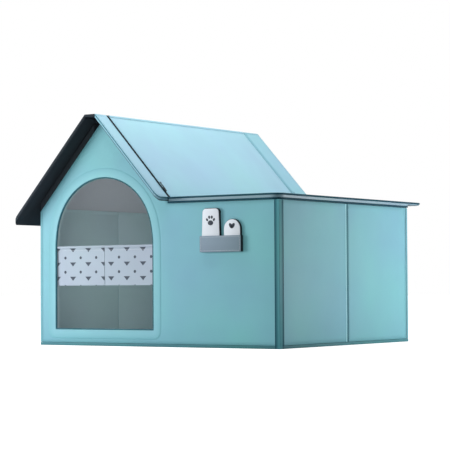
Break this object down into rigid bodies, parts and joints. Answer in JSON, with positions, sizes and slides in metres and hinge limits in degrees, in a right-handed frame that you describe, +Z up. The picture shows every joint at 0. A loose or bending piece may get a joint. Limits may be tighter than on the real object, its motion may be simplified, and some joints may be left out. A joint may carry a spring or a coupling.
{
  "type": "pet house",
  "caption": "Folding fabric pet house: gabled room with an arched, curtained doorway beside a flat-roofed extension whose lid and roof panel open.",
  "frame": {"origin": "centre of the base's underside, on the floor", "axes": "+X to the right along the front wall, +Y from the front wall towards the rear wall, +Z up"},
  "size_m": [0.6665, 0.6404, 0.4922],
  "materials": {
    "wall_cover": "smooth mint-teal coated fabric over thin foam",
    "roof_cover": "smooth pale blue coated fabric",
    "black_lining": "matt charcoal lining cloth",
    "inner_lining": "grey felt-like lining",
    "board": "plain stiffener board",
    "dark_binding": "dark teal woven binding and piping",
    "curtain_cloth": "thin white cotton with a small dark print",
    "rod_metal": "white enamelled tube",
    "pocket_felt": "grey felt",
    "tag_black": "black foam-backed felt",
    "tag_white": "white felt",
    "zip_tape": "black woven tape with moulded teeth",
    "zip_metal": "black enamelled zinc"
  },
  "bodies": {
    "base": {"base_cover": "wall_cover", "base_board": "board", "floor_mat": "inner_lining", "front_gable_cover": "wall_cover", "front_low_cover": "wall_cover", "front_board": "board", "front_lining": "inner_lining", "door_binding": "dark_binding", "curtain_rod": "rod_metal", "corner_binding": "dark_binding", "pocket_front": "pocket_felt", "pocket_gusset": "tag_black", "tall_tag_body": "tag_black", "tall_tag_face": "tag_white", "short_tag_body": "tag_black", "short_tag_face": "tag_white"},
    "left_curtain": {"curtain_left": "curtain_cloth"},
    "right_curtain": {"curtain_right": "curtain_cloth"},
    "right_front_wall": {"right_front_cover": "wall_cover", "right_front_board": "board", "right_front_lining": "inner_lining"},
    "right_rear_wall": {"right_rear_cover": "wall_cover", "right_rear_board": "board", "right_rear_lining": "inner_lining"},
    "rear_wall": {"rear_gable_cover": "wall_cover", "rear_low_cover": "wall_cover", "rear_board": "board", "rear_lining": "inner_lining"},
    "left_front_wall": {"left_front_cover": "wall_cover", "left_front_board": "board", "left_front_lining": "inner_lining"},
    "left_rear_wall": {"left_rear_cover": "wall_cover", "left_rear_board": "board", "left_rear_lining": "inner_lining"},
    "roof": {"roof_left_cover": "roof_cover", "roof_left_board": "board", "roof_left_lining": "black_lining", "roof_left_pad": "black_lining", "ridge_strip": "roof_cover", "front_flap": "roof_cover", "front_flap_lining": "black_lining", "rear_flap": "roof_cover", "rear_flap_lining": "black_lining", "front_zip": "zip_tape", "rear_zip": "dark_binding"},
    "front_zip_slider": {"front_slider": "zip_metal"},
    "rear_zip_slider": {"rear_slider": "zip_metal"},
    "right_roof": {"roof_right_cover": "roof_cover", "roof_right_board": "board", "roof_right_lining": "black_lining"},
    "lid": {"lid_cover": "roof_cover", "lid_board": "board", "lid_lining": "black_lining", "lid_piping": "dark_binding"}
  },
  "joints": [
    {"name": "wall_fold", "type": "hinge", "parent": "base", "child": "right_front_wall", "pos_m": [0.301, -0.256, 0.15], "axis": [0, 0, 1], "range_deg": [0, 90]},
    {"name": "right_mid_fold", "type": "hinge", "parent": "right_front_wall", "child": "right_rear_wall", "pos_m": [0.311, 0, 0.15], "axis": [0, 0, 1], "range_deg": [-180, 0]},
    {"name": "rear_corner_fold", "type": "hinge", "parent": "right_rear_wall", "child": "rear_wall", "pos_m": [0.301, 0.256, 0.15], "axis": [0, 0, 1], "range_deg": [0, 90]},
    {"name": "left_front_fold", "type": "hinge", "parent": "base", "child": "left_front_wall", "pos_m": [-0.301, -0.256, 0.15], "axis": [0, 0, 1], "range_deg": [-90, 0]},
    {"name": "left_mid_fold", "type": "hinge", "parent": "left_front_wall", "child": "left_rear_wall", "pos_m": [-0.311, 0, 0.15], "axis": [0, 0, 1], "range_deg": [0, 180]},
    {"name": "roof_lift", "type": "slide", "parent": "base", "child": "roof", "axis": [0, 0, 1], "range_m": [0, 0.25]},
    {"name": "front_zip_travel", "type": "slide", "parent": "roof", "child": "front_zip_slider", "axis": [-0.673, 0, 0.7396], "range_m": [0, 0.19]},
    {"name": "rear_zip_travel", "type": "slide", "parent": "roof", "child": "rear_zip_slider", "axis": [-0.673, 0, 0.7396], "range_m": [0, 0.19]},
    {"name": "right_roof_open", "type": "hinge", "parent": "roof", "child": "right_roof", "pos_m": [-0.1265, 0, 0.491], "axis": [0, -1, 0], "range_deg": [0, 100]},
    {"name": "lid_open", "type": "hinge", "parent": "right_roof", "child": "lid", "pos_m": [0.03686, 0, 0.3116], "axis": [0, -1, 0], "range_deg": [0, 100]},
    {"name": "left_curtain_swing", "type": "hinge", "parent": "base", "child": "left_curtain", "pos_m": [-0.134, -0.261, 0.211], "axis": [-1, 0, 0], "range_deg": [-80, 80]},
    {"name": "right_curtain_swing", "type": "hinge", "parent": "base", "child": "right_curtain", "pos_m": [-0.134, -0.261, 0.211], "axis": [-1, 0, 0], "range_deg": [-80, 80]}
  ],
  "couplings": [
    {"joint": "right_mid_fold", "follows": "wall_fold", "ratio": -2},
    {"joint": "rear_corner_fold", "follows": "wall_fold", "ratio": 1},
    {"joint": "left_front_fold", "follows": "wall_fold", "ratio": -1},
    {"joint": "left_mid_fold", "follows": "wall_fold", "ratio": 2}
  ]
}
